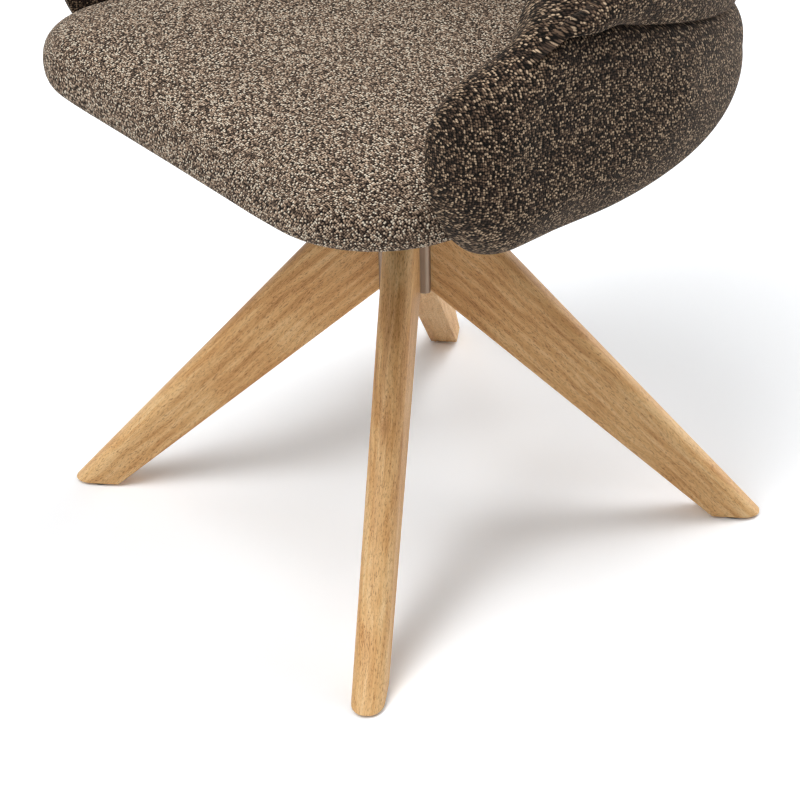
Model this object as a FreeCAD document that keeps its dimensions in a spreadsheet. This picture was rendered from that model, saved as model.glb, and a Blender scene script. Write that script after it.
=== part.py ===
# Swivel dining chair: an upholstered tub seat that turns on a four-legged wooden star base.
# Millimetres. The origin is on the floor in the middle of the chair's outline, +Z is up, and the
# sitter faces -Y. Everything is drawn round the swivel axis first and then set back by axis_forward.
import FreeCAD
import Part
import math
import os
import Sketcher

V = FreeCAD.Vector
UP = V(0, 0, 1)

doc = FreeCAD.newDocument("SwivelDiningChair")
sheet = doc.addObject("Spreadsheet::Sheet", "sizes")

# Driving dimensions: alias, value, what it measures.
DIMENSIONS = [
    ("axis_forward", 20, "swivel axis in front of the middle of the outline"),
    ("leg_thickness", 28, "leg blade, side to side"),
    ("leg_root_face", 22.5, "swivel axis to the leg's upright root face"),
    ("leg_root_bottom", 227, "floor to the lower corner of the root"),
    ("leg_root_top", 336, "floor to the upper corner of the root"),
    ("foot_inner", 277.5, "swivel axis to the foot's inner corner"),
    ("foot_outer", 321.5, "swivel axis to the foot's tip"),
    ("foot_blank", -37, "height at which a leg's blank ends, before its foot is sawn level"),
    ("blank_inner", 323.04, "swivel axis to the blank's lower inner corner"),
    ("blank_outer", 357.42, "swivel axis to the blank's lower outer corner"),
    ("foot_saw", 90, "circle that takes the blank off below the foot"),
    ("leg_round", 12.5, "rounding along the outer edge of a leg"),
    ("leg_soft", 1.5, "small rounding along the lower edge of a leg"),
    ("leg_turn", 45, "angle of each leg from the seat's own axes, degrees"),
    ("glide_height", 3, "plastic glide under a foot"),
    ("glide_radius", 12, "glide disc"),
    ("glide_reach", 297, "swivel axis to the middle of a glide"),
    ("glide_screw_radius", 2, "screw that holds a glide"),
    ("glide_screw_head", 4, "head of that screw"),
    ("glide_screw_length", 18, "screw in the foot"),
    ("hub_width", 45, "square steel tube, outside"),
    ("hub_wall", 3, "wall of the tube"),
    ("hub_corner", 4, "outer corner rounding of the tube"),
    ("hub_bottom", 229, "floor to the lower end of the tube"),
    ("hub_length", 117, "length of the tube"),
    ("cap_thickness", 8, "plate welded on top of the tube"),
    ("plug_thickness", 2.5, "plastic plug in the lower end"),
    ("plug_raise", 0.5, "plug set in from the tube's end"),
    ("bolt_low", 256, "lower leg bolts"),
    ("bolt_high", 292, "upper leg bolts"),
    ("bolt_radius", 4, "M8 shank"),
    ("bolt_head_radius", 7, "button head"),
    ("bolt_head_height", 4.4, "button head"),
    ("bolt_length", 22, "under the head"),
    ("bolt_key", 2.9, "hexagon socket, centre to corner"),
    ("insert_radius", 6, "threaded insert in the leg's root"),
    ("insert_length", 20, "threaded insert"),
    ("spindle_radius", 12.5, "swivel spindle"),
    ("spindle_bottom", 233.5, "lower end of the spindle"),
    ("shoulder_radius", 21, "shoulder that carries the seat"),
    ("running_gap", 0.05, "radial clearance of the spindle in its bushes"),
    ("bush_radius", 15, "outside of the upper bush"),
    ("bush_drop", 10, "upper bush below its plate"),
    ("bush_flange_radius", 20.5, "flange of the upper bush"),
    ("bush_flange", 3, "flange thickness"),
    ("low_bush_radius", 14.5, "outside of the lower bush"),
    ("low_flange_radius", 17, "flange of the lower bush"),
    ("low_flange", 2, "flange thickness of the lower bush"),
    ("bush_plate_bottom", 238, "plate inside the tube's lower end"),
    ("bush_plate", 5, "thickness of that plate"),
    ("race_thickness", 3.6, "bearing washer"),
    ("race_bore", 13, "bore of a bearing washer, radius"),
    ("ball_radius", 3, "bearing ball"),
    ("ball_pitch", 17, "ball circle, radius"),
    ("groove_play", 0.1, "groove larger than the ball"),
    ("cage_thickness", 1.6, "ball cage"),
    ("cage_inner", 13.4, "ball cage, inner radius"),
    ("cage_outer", 20.6, "ball cage, outer radius"),
    ("cage_play", 0.12, "clearance of a ball in the cage"),
    ("ring_thickness", 1.2, "retaining ring"),
    ("ring_groove", 11.5, "bottom of the ring groove, radius"),
    ("ring_outer", 15.4, "retaining ring, outer radius"),
    ("ring_bottom", 235, "underside of the retaining ring"),
    ("washer_thickness", 1.5, "washer above the ring"),
    ("washer_outer", 17, "washer, outer radius"),
    ("seat_under", 414, "floor to the seat's underside"),
    ("plate_thickness", 5, "swivel plate"),
    ("plate_half", 88, "swivel plate, half width"),
    ("plate_waist", 45, "swivel plate, half width between its arms"),
    ("plate_hole", 70, "axis to a plate screw, along X and along Y"),
    ("plate_screw_radius", 3, "M6 shank"),
    ("plate_head_radius", 5.5, "head of a plate screw"),
    ("plate_head_height", 3.2, "head of a plate screw"),
    ("tee_barrel", 4, "tee nut barrel, radius"),
    ("tee_flange", 9, "tee nut flange, radius"),
    ("tee_flange_height", 1.2, "tee nut flange"),
    ("board_thickness", 12, "plywood seat board"),
    ("board_inset", 22, "seat board inside the cushion's side"),
    ("seat_half_width", 249.4, "cushion, half width"),
    ("seat_front", 239, "swivel axis to the cushion's front"),
    ("seat_corner", 92, "plan radius of the front corners"),
    ("seat_edge_height", 46, "cushion's side, up to its top edge"),
    ("seat_crown", 16, "rise of the cushion's top to its middle"),
    ("round_centre", -34, "centre of the tub's round back, along Y"),
    ("shell_radius", 300, "outside of the tub"),
    ("shell_bottom", 399, "floor to the tub's lower edge"),
    ("shell_wall", 49.5, "tub wall beside the cushion"),
    ("shell_wall_high", 64, "tub wall at arm height"),
    ("wing_tip", 176, "swivel axis to the front of the wings"),
    ("wing_nose", 57, "plan radius of a wing's front"),
    ("wing_tip_height", 497, "height of the wing's foremost point"),
    ("wing_shoulder", 555, "top of the low front part of a wing"),
    ("arm_rise", 130, "rise from the wing's shoulder to the arm"),
    ("back_rise", 100, "rise from the arm to the middle of the back"),
    ("crease_height", 566, "crease along the arms"),
    ("crease_fall", 84, "fall of the crease to the middle of the back"),
    ("crease_depth", 13, "depth of the crease"),
    ("upper_bulge", 5, "upper roll outside the tub radius"),
    ("back_lean", 0.1, "lean of the back, sideways per unit of height"),
    ("rail_radius", 7, "steel tube of the tub frame"),
    ("rail_wall", 1.5, "wall of that tube"),
    ("low_rail_height", 432, "lower rail"),
    ("low_rail_round", 266, "plan radius of the lower rail"),
    ("low_rail_front", -120, "front end of the lower rail"),
    ("high_rail_round", 268, "radius of the upper rail in its own plane"),
    ("high_rail_centre", 81, "its centre, along the sloping plane"),
    ("high_rail_front", -60, "front end of the upper rail, along Y"),
    ("high_rail_front_height", 578, "front end of the upper rail"),
    ("high_rail_slope", 28.5, "slope of the upper rail's plane, degrees"),
    ("post_radius", 6, "upright rod between the rails"),
    ("bracket_width", 25, "bracket from the seat board to the lower rail"),
    ("bracket_thickness", 4, "bracket"),
    ("bracket_inner", 196, "bracket's inner end"),
    ("cover_thickness", 1, "dust cover"),
    ("cover_half", 190, "dust cover, half width"),
]
for row, (alias, value, note) in enumerate(DIMENSIONS, start=1):
    sheet.set("A%d" % row, note)
    sheet.set("B%d" % row, str(value))
    sheet.setAlias("B%d" % row, alias)
doc.recompute()

PARTS = []


def size(alias):
    """A driving dimension from the sheet."""
    return float(sheet.get(alias))


def keep(piece, label):
    """Names a finished sub-part and lists it for export."""
    piece.Label = label
    PARTS.append(piece)
    return piece


def bind(piece, **expressions):
    """Ties the piece's properties to the sheet."""
    for prop, expression in expressions.items():
        piece.setExpression(prop.replace("__", "."), expression)
    return piece


def by_code(label, shape):
    """A sub-part whose shape is worked out below from the sheet's sizes."""
    piece = doc.addObject("Part::Feature", label)
    piece.Shape = shape
    return keep(piece, label)


# Sketched bodies

def new_body(name):
    return doc.addObject("PartDesign::Body", name)


def sketch_in(body, role, name, height=None):
    """A sketch on one of the body's own planes, lifted to a height where one is given."""
    sketch = body.newObject("Sketcher::SketchObject", name)
    plane = [feature for feature in body.Origin.OriginFeatures if feature.Role == role][0]
    sketch.AttachmentSupport = [(plane, "")]
    sketch.MapMode = "FlatFace"
    if height is not None:
        sketch.setExpression("AttachmentOffset.Base.z", height)
    return sketch


def fix_point(sketch, line, end, x_alias, y_alias):
    """Holds the end of a line at two sizes of the sheet."""
    for kind, alias in (("DistanceX", x_alias), ("DistanceY", y_alias)):
        number = sketch.addConstraint(Sketcher.Constraint(kind, -1, 1, line, end, size(alias)))
        sketch.setExpression("Constraints[%d]" % number, "sizes." + alias)


def polygon(sketch, corners):
    """A closed outline whose corners are pairs of aliases."""
    spots = [V(size(x), size(y), 0) for x, y in corners]
    first = sketch.GeometryCount
    for number, spot in enumerate(spots):
        sketch.addGeometry(Part.LineSegment(spot, spots[(number + 1) % len(spots)]), False)
    for number, (x_alias, y_alias) in enumerate(corners):
        following = first + (number + 1) % len(spots)
        sketch.addConstraint(Sketcher.Constraint("Coincident", first + number, 2, following, 1))
        fix_point(sketch, first + number, 1, x_alias, y_alias)


def square(sketch, width, expression):
    """A square centred on the sketch's origin."""
    half = width / 2
    spots = [V(-half, -half, 0), V(half, -half, 0), V(half, half, 0), V(-half, half, 0)]
    first = sketch.GeometryCount
    for number in range(4):
        sketch.addGeometry(Part.LineSegment(spots[number], spots[(number + 1) % 4]), False)
    for number in range(4):
        following = first + (number + 1) % 4
        sketch.addConstraint(Sketcher.Constraint("Coincident", first + number, 2, following, 1))
        kind = ("Horizontal", "Vertical")[number % 2]
        sketch.addConstraint(Sketcher.Constraint(kind, first + number))
    sketch.addConstraint(Sketcher.Constraint("Symmetric", first, 1, first + 2, 1, -1, 1))
    sketch.addConstraint(Sketcher.Constraint("Equal", first, first + 1))
    number = sketch.addConstraint(Sketcher.Constraint("DistanceX", first, 1, first, 2, width))
    sketch.setExpression("Constraints[%d]" % number, expression)


def circle(sketch, x, y, radius, x_expression, y_expression, radius_expression):
    """A circle at a bound place with a bound radius."""
    number = sketch.addGeometry(Part.Circle(V(x, y, 0), UP, radius), False)
    tied = (
        (Sketcher.Constraint("DistanceX", -1, 1, number, 3, x), x_expression),
        (Sketcher.Constraint("DistanceY", -1, 1, number, 3, y), y_expression),
        (Sketcher.Constraint("Radius", number, radius), radius_expression),
    )
    for constraint, expression in tied:
        place = sketch.addConstraint(constraint)
        sketch.setExpression("Constraints[%d]" % place, expression)


def edges_where(shape, test):
    return ["Edge%d" % (n + 1) for n, edge in enumerate(shape.Edges) if test(edge)]


# Base: legs

def on_line(vertex, start, end):
    """Whether a vertex, seen from the side, lies on the line from start to end."""
    along = end - start
    offset = V(vertex.X, 0, vertex.Z) - start
    return along.cross(offset).Length / along.Length < 0.05


def leg(label, turn):
    """A tapering blade with a rounded outer edge, square to the hub and sawn level at its glide."""
    body = new_body(label)
    profile = sketch_in(body, "XZ_Plane", label + "_profile")
    polygon(profile, [
        ("leg_root_face", "leg_root_bottom"),
        ("blank_inner", "foot_blank"),
        ("blank_outer", "foot_blank"),
        ("leg_root_face", "leg_root_top"),
    ])
    blade = body.newObject("PartDesign::Pad", label + "_blade")
    blade.Profile = profile
    blade.SideType = "Symmetric"
    blade.setExpression("Length", "sizes.leg_thickness")
    doc.recompute()

    root_top = V(size("leg_root_face"), 0, size("leg_root_top"))
    foot_tip = V(size("foot_outer"), 0, size("glide_height"))
    outer = edges_where(blade.Shape, lambda edge: all(
        on_line(vertex, root_top, foot_tip) and abs(vertex.Y) > 1 for vertex in edge.Vertexes))
    rounding = body.newObject("PartDesign::Fillet", label + "_rounding")
    rounding.Base = (blade, outer)
    rounding.setExpression("Radius", "sizes.leg_round")
    doc.recompute()

    root_low = V(size("leg_root_face"), 0, size("leg_root_bottom"))
    foot_heel = V(size("foot_inner"), 0, size("glide_height"))
    inner = edges_where(rounding.Shape, lambda edge: all(
        on_line(vertex, root_low, foot_heel) and abs(vertex.Y) > 1 for vertex in edge.Vertexes))
    softened = body.newObject("PartDesign::Fillet", label + "_softening")
    softened.Base = (rounding, inner)
    softened.setExpression("Radius", "sizes.leg_soft")

    below = sketch_in(body, "XY_Plane", label + "_below_foot", "sizes.glide_height")
    circle(below, size("glide_reach"), 0, size("foot_saw"),
           "sizes.glide_reach", "0 mm", "sizes.foot_saw")
    foot = body.newObject("PartDesign::Pocket", label + "_foot")
    foot.Profile = below
    foot.setExpression("Length", "sizes.glide_height - sizes.foot_blank + 5")

    seats = sketch_in(body, "YZ_Plane", label + "_insert_seats", "sizes.leg_root_face")
    for height in ("bolt_low", "bolt_high"):
        circle(seats, 0, size(height), size("insert_radius"),
               "0 mm", "sizes.%s" % height, "sizes.insert_radius")
    bores = body.newObject("PartDesign::Pocket", label + "_insert_bores")
    bores.Profile = seats
    bores.Reversed = True
    bores.setExpression("Length", "sizes.insert_length + 2")

    pilot = sketch_in(body, "XY_Plane", label + "_pilot", "sizes.glide_height")
    circle(pilot, size("glide_reach"), 0, size("glide_screw_radius"),
           "sizes.glide_reach", "0 mm", "sizes.glide_screw_radius")
    hole = body.newObject("PartDesign::Pocket", label + "_glide_hole")
    hole.Profile = pilot
    hole.Reversed = True
    hole.setExpression("Length", "sizes.glide_screw_length")
    body.Placement = FreeCAD.Placement(V(), UP, turn)
    doc.recompute()
    for cut, before in ((foot, softened), (bores, foot), (hole, bores)):
        assert cut.Shape.Volume < before.Shape.Volume - 1, cut.Name
    return keep(body, label)


# Base: the steel hub

def hub_tube():
    """Square tube with rounded corners and a bolt hole pair in each wall."""
    body = new_body("hub_tube")
    section = sketch_in(body, "XY_Plane", "hub_section", "sizes.hub_bottom")
    width = size("hub_width")
    square(section, width, "sizes.hub_width")
    square(section, width - 2 * size("hub_wall"), "sizes.hub_width - 2 * sizes.hub_wall")
    tube = body.newObject("PartDesign::Pad", "hub_length_pad")
    tube.Profile = section
    tube.setExpression("Length", "sizes.hub_length")
    doc.recompute()
    rounded = tube
    for name, reach, radius in (
        ("hub_outer_corners", width / 2, "sizes.hub_corner"),
        ("hub_inner_corners", width / 2 - size("hub_wall"), "sizes.hub_corner - sizes.hub_wall"),
    ):
        chosen = edges_where(rounded.Shape, lambda edge: abs(
            edge.tangentAt(edge.FirstParameter).z) > 0.9 and all(
            abs(abs(vertex.X) - reach) < 0.01 and abs(abs(vertex.Y) - reach) < 0.01
            for vertex in edge.Vertexes))
        corner = body.newObject("PartDesign::Fillet", name)
        corner.Base = (rounded, chosen)
        corner.setExpression("Radius", radius)
        doc.recompute()
        rounded = corner
    for role in ("XZ_Plane", "YZ_Plane"):
        sketch = sketch_in(body, role, "bolt_holes_" + role[:2].lower())
        for height in ("bolt_low", "bolt_high"):
            circle(sketch, 0, size(height), size("bolt_radius") + 0.25,
                   "0 mm", "sizes.%s" % height, "sizes.bolt_radius + 0.25")
        holes = body.newObject("PartDesign::Pocket", "bolt_pockets_" + role[:2].lower())
        holes.Profile = sketch
        holes.SideType = "Symmetric"
        holes.setExpression("Length", "sizes.hub_width + 10")
        doc.recompute()
        assert holes.Shape.Volume < rounded.Shape.Volume - 1
        rounded = holes
    body.Placement = FreeCAD.Placement(V(), UP, size("leg_turn"))
    return keep(body, "hub_tube")


def cylinder(name, radius, length, base):
    """A bound cylinder whose lower end is at a bound height on the swivel axis."""
    piece = doc.addObject("Part::Cylinder", name)
    return bind(piece, Radius=radius, Height=length, Placement__Base__z=base)


def cut(name, base, tool):
    piece = doc.addObject("Part::Cut", name)
    piece.Base = base
    piece.Tool = tool
    return piece


def fuse(name, pieces):
    piece = doc.addObject("Part::MultiFuse", name)
    piece.Shapes = pieces
    piece.Refine = True
    return piece


def ring(name, outer, inner, length, base):
    """A plain ring on the swivel axis."""
    solid = cylinder(name + "_outside", outer, length, base)
    bore = cylinder(name + "_bore", inner, length + " + 2", base + " - 1")
    return cut(name, solid, bore)


def square_plate(name, width, thickness, base):
    """A square plate, centred and turned with the hub."""
    plate = doc.addObject("Part::Box", name)
    bind(plate, Length=width, Width=width, Height=thickness, Placement__Base__z=base)
    turn = math.radians(size("leg_turn"))
    reach = "(%s) / 2 * " % width
    bind(plate,
         Placement__Base__x=reach + "(%.6f)" % (math.sin(turn) - math.cos(turn)),
         Placement__Base__y=reach + "(%.6f)" % (-math.sin(turn) - math.cos(turn)))
    plate.Placement.Rotation = FreeCAD.Rotation(UP, size("leg_turn"))
    return plate


HUB_TOP = "sizes.hub_bottom + sizes.hub_length"
CAP_TOP = HUB_TOP + " + sizes.cap_thickness"
RACE_BASE = CAP_TOP + " + sizes.bush_flange"
RACE_GAP = 2 * (size("ball_radius") + size("groove_play")) - 1.5
UPPER_RACE_BASE = RACE_BASE + " + sizes.race_thickness + %.4f" % RACE_GAP
SHOULDER_BASE = UPPER_RACE_BASE + " + sizes.race_thickness"
PLATE_BASE = "sizes.seat_under - sizes.plate_thickness"


def hub_fittings():
    """Plates, plug and bushes that the spindle runs in."""
    inside = "sizes.hub_width - 2 * sizes.hub_wall - 0.1"
    cap = square_plate("cap_blank", "sizes.hub_width - 1", "sizes.cap_thickness", HUB_TOP)
    cap_bore = cylinder("cap_bore", "sizes.bush_radius", "sizes.cap_thickness + 2", HUB_TOP + " - 1")
    keep(cut("hub_cap", cap, cap_bore), "hub_cap")

    low = square_plate("low_plate_blank", inside, "sizes.bush_plate", "sizes.bush_plate_bottom")
    low_bore = cylinder("low_plate_bore", "sizes.low_bush_radius", "sizes.bush_plate + 2",
                        "sizes.bush_plate_bottom - 1")
    # The tube's inner corners are rounded, so the plate's corners are trimmed by a wide cylinder.
    trim = cylinder("low_plate_trim", "sizes.hub_width / 2 + 2.4", "sizes.bush_plate",
                    "sizes.bush_plate_bottom")
    common = doc.addObject("Part::Common", "low_plate_trimmed")
    common.Base = low
    common.Tool = trim
    keep(cut("hub_bush_plate", common, low_bore), "hub_bush_plate")

    plug = square_plate("plug_blank", inside, "sizes.plug_thickness",
                        "sizes.hub_bottom + sizes.plug_raise")
    plug_trim = cylinder("plug_trim", "sizes.hub_width / 2 + 2.4", "sizes.plug_thickness",
                         "sizes.hub_bottom + sizes.plug_raise")
    plug_shape = doc.addObject("Part::Common", "hub_plug")
    plug_shape.Base = plug
    plug_shape.Tool = plug_trim
    keep(plug_shape, "hub_plug")

    bore = "sizes.spindle_radius + sizes.running_gap"
    barrel = cylinder("upper_bush_barrel", "sizes.bush_radius", "sizes.cap_thickness + sizes.bush_drop",
                      HUB_TOP + " - sizes.bush_drop")
    flange = cylinder("upper_bush_flange", "sizes.bush_flange_radius", "sizes.bush_flange", CAP_TOP)
    through = cylinder("upper_bush_bore", bore, "60", HUB_TOP + " - 30")
    keep(cut("upper_bush", fuse("upper_bush_solid", [barrel, flange]), through), "upper_bush")

    low_barrel = cylinder("lower_bush_barrel", "sizes.low_bush_radius", "sizes.bush_plate",
                          "sizes.bush_plate_bottom")
    low_flange = cylinder("lower_bush_flange", "sizes.low_flange_radius", "sizes.low_flange",
                          "sizes.bush_plate_bottom + sizes.bush_plate")
    low_through = cylinder("lower_bush_bore", bore, "30", "sizes.bush_plate_bottom - 10")
    keep(cut("lower_bush", fuse("lower_bush_solid", [low_barrel, low_flange]), low_through),
         "lower_bush")


def button_bolt(name):
    """A button-head bolt lying along +X, with its head's underside at the origin."""
    head = doc.addObject("Part::Cylinder", name + "_head")
    bind(head, Radius="sizes.bolt_head_radius", Height="sizes.bolt_head_height")
    shank = doc.addObject("Part::Cylinder", name + "_shank")
    bind(shank, Radius="sizes.bolt_radius", Height="sizes.bolt_length")
    key = doc.addObject("Part::Prism", name + "_key")
    key.Polygon = 6
    bind(key, Circumradius="sizes.bolt_key", Height="sizes.bolt_head_height - 1.5")
    outward = FreeCAD.Rotation(V(0, 1, 0), 90)
    shank.Placement = FreeCAD.Placement(V(), outward)
    head.Placement = FreeCAD.Placement(V(-size("bolt_head_height"), 0, 0), outward)
    key.Placement = FreeCAD.Placement(V(-size("bolt_head_height"), 0, 0), outward)
    return cut(name, fuse(name + "_solid", [head, shank]), key)


def around_hub(label, make, reach):
    """One piece at each of the eight bolt places, grouped in one sub-part."""
    copies = []
    for leg_number in range(4):
        turn = size("leg_turn") + 90 * leg_number
        direction = FreeCAD.Rotation(UP, turn)
        for height in ("bolt_low", "bolt_high"):
            piece = make("%s_%d_%s" % (label, leg_number, height))
            spot = direction.multVec(V(reach, 0, 0)) + V(0, 0, size(height))
            piece.Placement = FreeCAD.Placement(spot, direction)
            copies.append(piece)
    group = doc.addObject("Part::Compound", label)
    group.Links = copies
    return keep(group, label)


def threaded_insert(name):
    """A sleeve lying along +X from the leg's root face."""
    sleeve = doc.addObject("Part::Cylinder", name + "_sleeve")
    bind(sleeve, Radius="sizes.insert_radius", Height="sizes.insert_length")
    bore = doc.addObject("Part::Cylinder", name + "_bore")
    bind(bore, Radius="sizes.bolt_radius", Height="sizes.insert_length")
    outward = FreeCAD.Rotation(V(0, 1, 0), 90)
    sleeve.Placement = FreeCAD.Placement(V(), outward)
    bore.Placement = FreeCAD.Placement(V(), outward)
    return cut(name, sleeve, bore)


def foot_spots():
    for leg_number in range(4):
        turn = math.radians(size("leg_turn") + 90 * leg_number)
        reach = size("glide_reach")
        yield leg_number, V(reach * math.cos(turn), reach * math.sin(turn), 0)


def glides():
    """Discs under the feet, each with a countersunk screw."""
    discs = []
    screws = []
    for number, spot in foot_spots():
        disc = doc.addObject("Part::Cylinder", "glide_disc_%d" % number)
        bind(disc, Radius="sizes.glide_radius", Height="sizes.glide_height")
        sink = doc.addObject("Part::Cone", "glide_sink_%d" % number)
        bind(sink, Radius1="sizes.glide_screw_head", Radius2="sizes.glide_screw_radius",
             Height="sizes.glide_height - 0.5")
        sink.Placement = FreeCAD.Placement(V(0, 0, 0.5), FreeCAD.Rotation())
        mouth = doc.addObject("Part::Cylinder", "glide_mouth_%d" % number)
        bind(mouth, Radius="sizes.glide_screw_head")
        mouth.Height = 0.5
        hollow = fuse("glide_hollow_%d" % number, [sink, mouth])
        edge = doc.addObject("Part::Fillet", "glide_edge_%d" % number)
        edge.Base = disc
        doc.recompute()
        rim = [n + 1 for n, e in enumerate(disc.Shape.Edges)
               if e.Closed and abs(e.CenterOfMass.z) < 0.01]
        edge.Edges = [(n, 0.8, 0.8) for n in rim]
        disc_cut = cut("glide_%d" % number, edge, hollow)
        disc_cut.Placement = FreeCAD.Placement(spot, FreeCAD.Rotation())
        discs.append(disc_cut)

        head = doc.addObject("Part::Cone", "glide_screw_head_%d" % number)
        bind(head, Radius1="sizes.glide_screw_head", Radius2="sizes.glide_screw_radius",
             Height="sizes.glide_height - 0.5")
        head.Placement = FreeCAD.Placement(V(0, 0, 0.5), FreeCAD.Rotation())
        shank = doc.addObject("Part::Cylinder", "glide_screw_shank_%d" % number)
        bind(shank, Radius="sizes.glide_screw_radius", Height="sizes.glide_screw_length",
             Placement__Base__z="sizes.glide_height")
        screw = fuse("glide_screw_%d" % number, [head, shank])
        screw.Placement = FreeCAD.Placement(spot, FreeCAD.Rotation())
        screws.append(screw)
    for label, pieces in (("glides", discs), ("glide_screws", screws)):
        group = doc.addObject("Part::Compound", label)
        group.Links = pieces
        keep(group, label)


# Swivel: thrust bearing, spindle and plate

def race(label, base, groove_height):
    """A bearing washer with a ball groove on the face at groove_height."""
    washer = ring(label + "_washer", "sizes.shoulder_radius", "sizes.race_bore",
                  "sizes.race_thickness", base)
    groove = doc.addObject("Part::Torus", label + "_groove")
    bind(groove, Radius1="sizes.ball_pitch", Radius2="sizes.ball_radius + sizes.groove_play",
         Placement__Base__z=groove_height)
    return keep(cut(label, washer, groove), label)


BALL_HEIGHT = RACE_BASE + " + sizes.race_thickness + %.4f" % (RACE_GAP / 2)
BALL_COUNT = 14


def bearing():
    race("lower_race", RACE_BASE, BALL_HEIGHT)
    race("upper_race", UPPER_RACE_BASE, BALL_HEIGHT)
    balls = []
    pockets = []
    for number in range(BALL_COUNT):
        turn = 2 * math.pi * number / BALL_COUNT
        spot = V(math.cos(turn), math.sin(turn), 0) * size("ball_pitch")
        ball = doc.addObject("Part::Sphere", "ball_%d" % number)
        bind(ball, Radius="sizes.ball_radius", Placement__Base__z=BALL_HEIGHT)
        pocket = doc.addObject("Part::Cylinder", "pocket_%d" % number)
        bind(pocket, Radius="sizes.ball_radius + sizes.cage_play", Height="20",
             Placement__Base__z=BALL_HEIGHT + " - 10")
        for piece in (ball, pocket):
            piece.Placement.Base.x = spot.x
            piece.Placement.Base.y = spot.y
        balls.append(ball)
        pockets.append(pocket)
    group = doc.addObject("Part::Compound", "bearing_balls")
    group.Links = balls
    keep(group, "bearing_balls")
    blank = ring("cage_blank", "sizes.cage_outer", "sizes.cage_inner", "sizes.cage_thickness",
                 BALL_HEIGHT + " - sizes.cage_thickness / 2")
    keep(cut("ball_cage", blank, fuse("cage_pockets", pockets)), "ball_cage")


def spindle():
    """Turned shaft with a wide shoulder on the bearing and a groove for the retaining ring."""
    shaft = cylinder("spindle_shaft", "sizes.spindle_radius",
                     SHOULDER_BASE + " - sizes.spindle_bottom", "sizes.spindle_bottom")
    shoulder = cylinder("spindle_shoulder", "sizes.shoulder_radius",
                        PLATE_BASE + " - (" + SHOULDER_BASE + ")", SHOULDER_BASE)
    groove = ring("spindle_groove", "sizes.spindle_radius + 1", "sizes.ring_groove",
                  "sizes.ring_thickness", "sizes.ring_bottom")
    keep(cut("spindle", fuse("spindle_solid", [shaft, shoulder]), groove), "spindle")

    washer_base = "sizes.ring_bottom + sizes.ring_thickness"
    keep(ring("spindle_washer", "sizes.washer_outer", "sizes.spindle_radius + sizes.running_gap",
              "sizes.washer_thickness", washer_base), "spindle_washer")
    closed = ring("retaining_ring_closed", "sizes.ring_outer", "sizes.ring_groove",
                  "sizes.ring_thickness", "sizes.ring_bottom")
    mouth = doc.addObject("Part::Box", "retaining_ring_mouth")
    bind(mouth, Length="sizes.ring_outer + 2", Width="6", Height="sizes.ring_thickness + 2",
         Placement__Base__y="-3", Placement__Base__z="sizes.ring_bottom - 1")
    keep(cut("retaining_ring", closed, mouth), "retaining_ring")


def swivel_plate():
    """Pressed four-armed plate welded on the spindle's shoulder."""
    arms = []
    for name, length, width in (("x", "sizes.plate_half", "sizes.plate_waist"),
                                ("y", "sizes.plate_waist", "sizes.plate_half")):
        arm = doc.addObject("Part::Box", "plate_arm_" + name)
        bind(arm, Length="2 * " + length, Width="2 * " + width, Height="sizes.plate_thickness",
             Placement__Base__x="-" + length, Placement__Base__y="-" + width,
             Placement__Base__z=PLATE_BASE)
        arms.append(arm)
    ears = []
    holes = []
    for x_sign, y_sign in ((1, 1), (-1, 1), (-1, -1), (1, -1)):
        name = "plate_%s_%s" % ("left" if x_sign > 0 else "right", "rear" if y_sign > 0 else "front")
        ear = doc.addObject("Part::Cylinder", name + "_ear")
        bind(ear, Radius="sizes.plate_half - sizes.plate_hole", Height="sizes.plate_thickness",
             Placement__Base__z=PLATE_BASE)
        hole = doc.addObject("Part::Cylinder", name + "_hole")
        bind(hole, Radius="sizes.plate_screw_radius + 0.3", Height="20",
             Placement__Base__z=PLATE_BASE + " - 5")
        for piece in (ear, hole):
            bind(piece, Placement__Base__x="%d * sizes.plate_hole" % x_sign,
                 Placement__Base__y="%d * sizes.plate_hole" % y_sign)
        ears.append(ear)
        holes.append(hole)
    middle = doc.addObject("Part::Box", "plate_middle")
    bind(middle, Length="2 * sizes.plate_hole", Width="2 * sizes.plate_hole",
         Height="sizes.plate_thickness", Placement__Base__x="-sizes.plate_hole",
         Placement__Base__y="-sizes.plate_hole", Placement__Base__z=PLATE_BASE)
    keep(cut("swivel_plate", fuse("plate_solid", arms + ears + [middle]),
             fuse("plate_holes", holes)), "swivel_plate")


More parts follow.
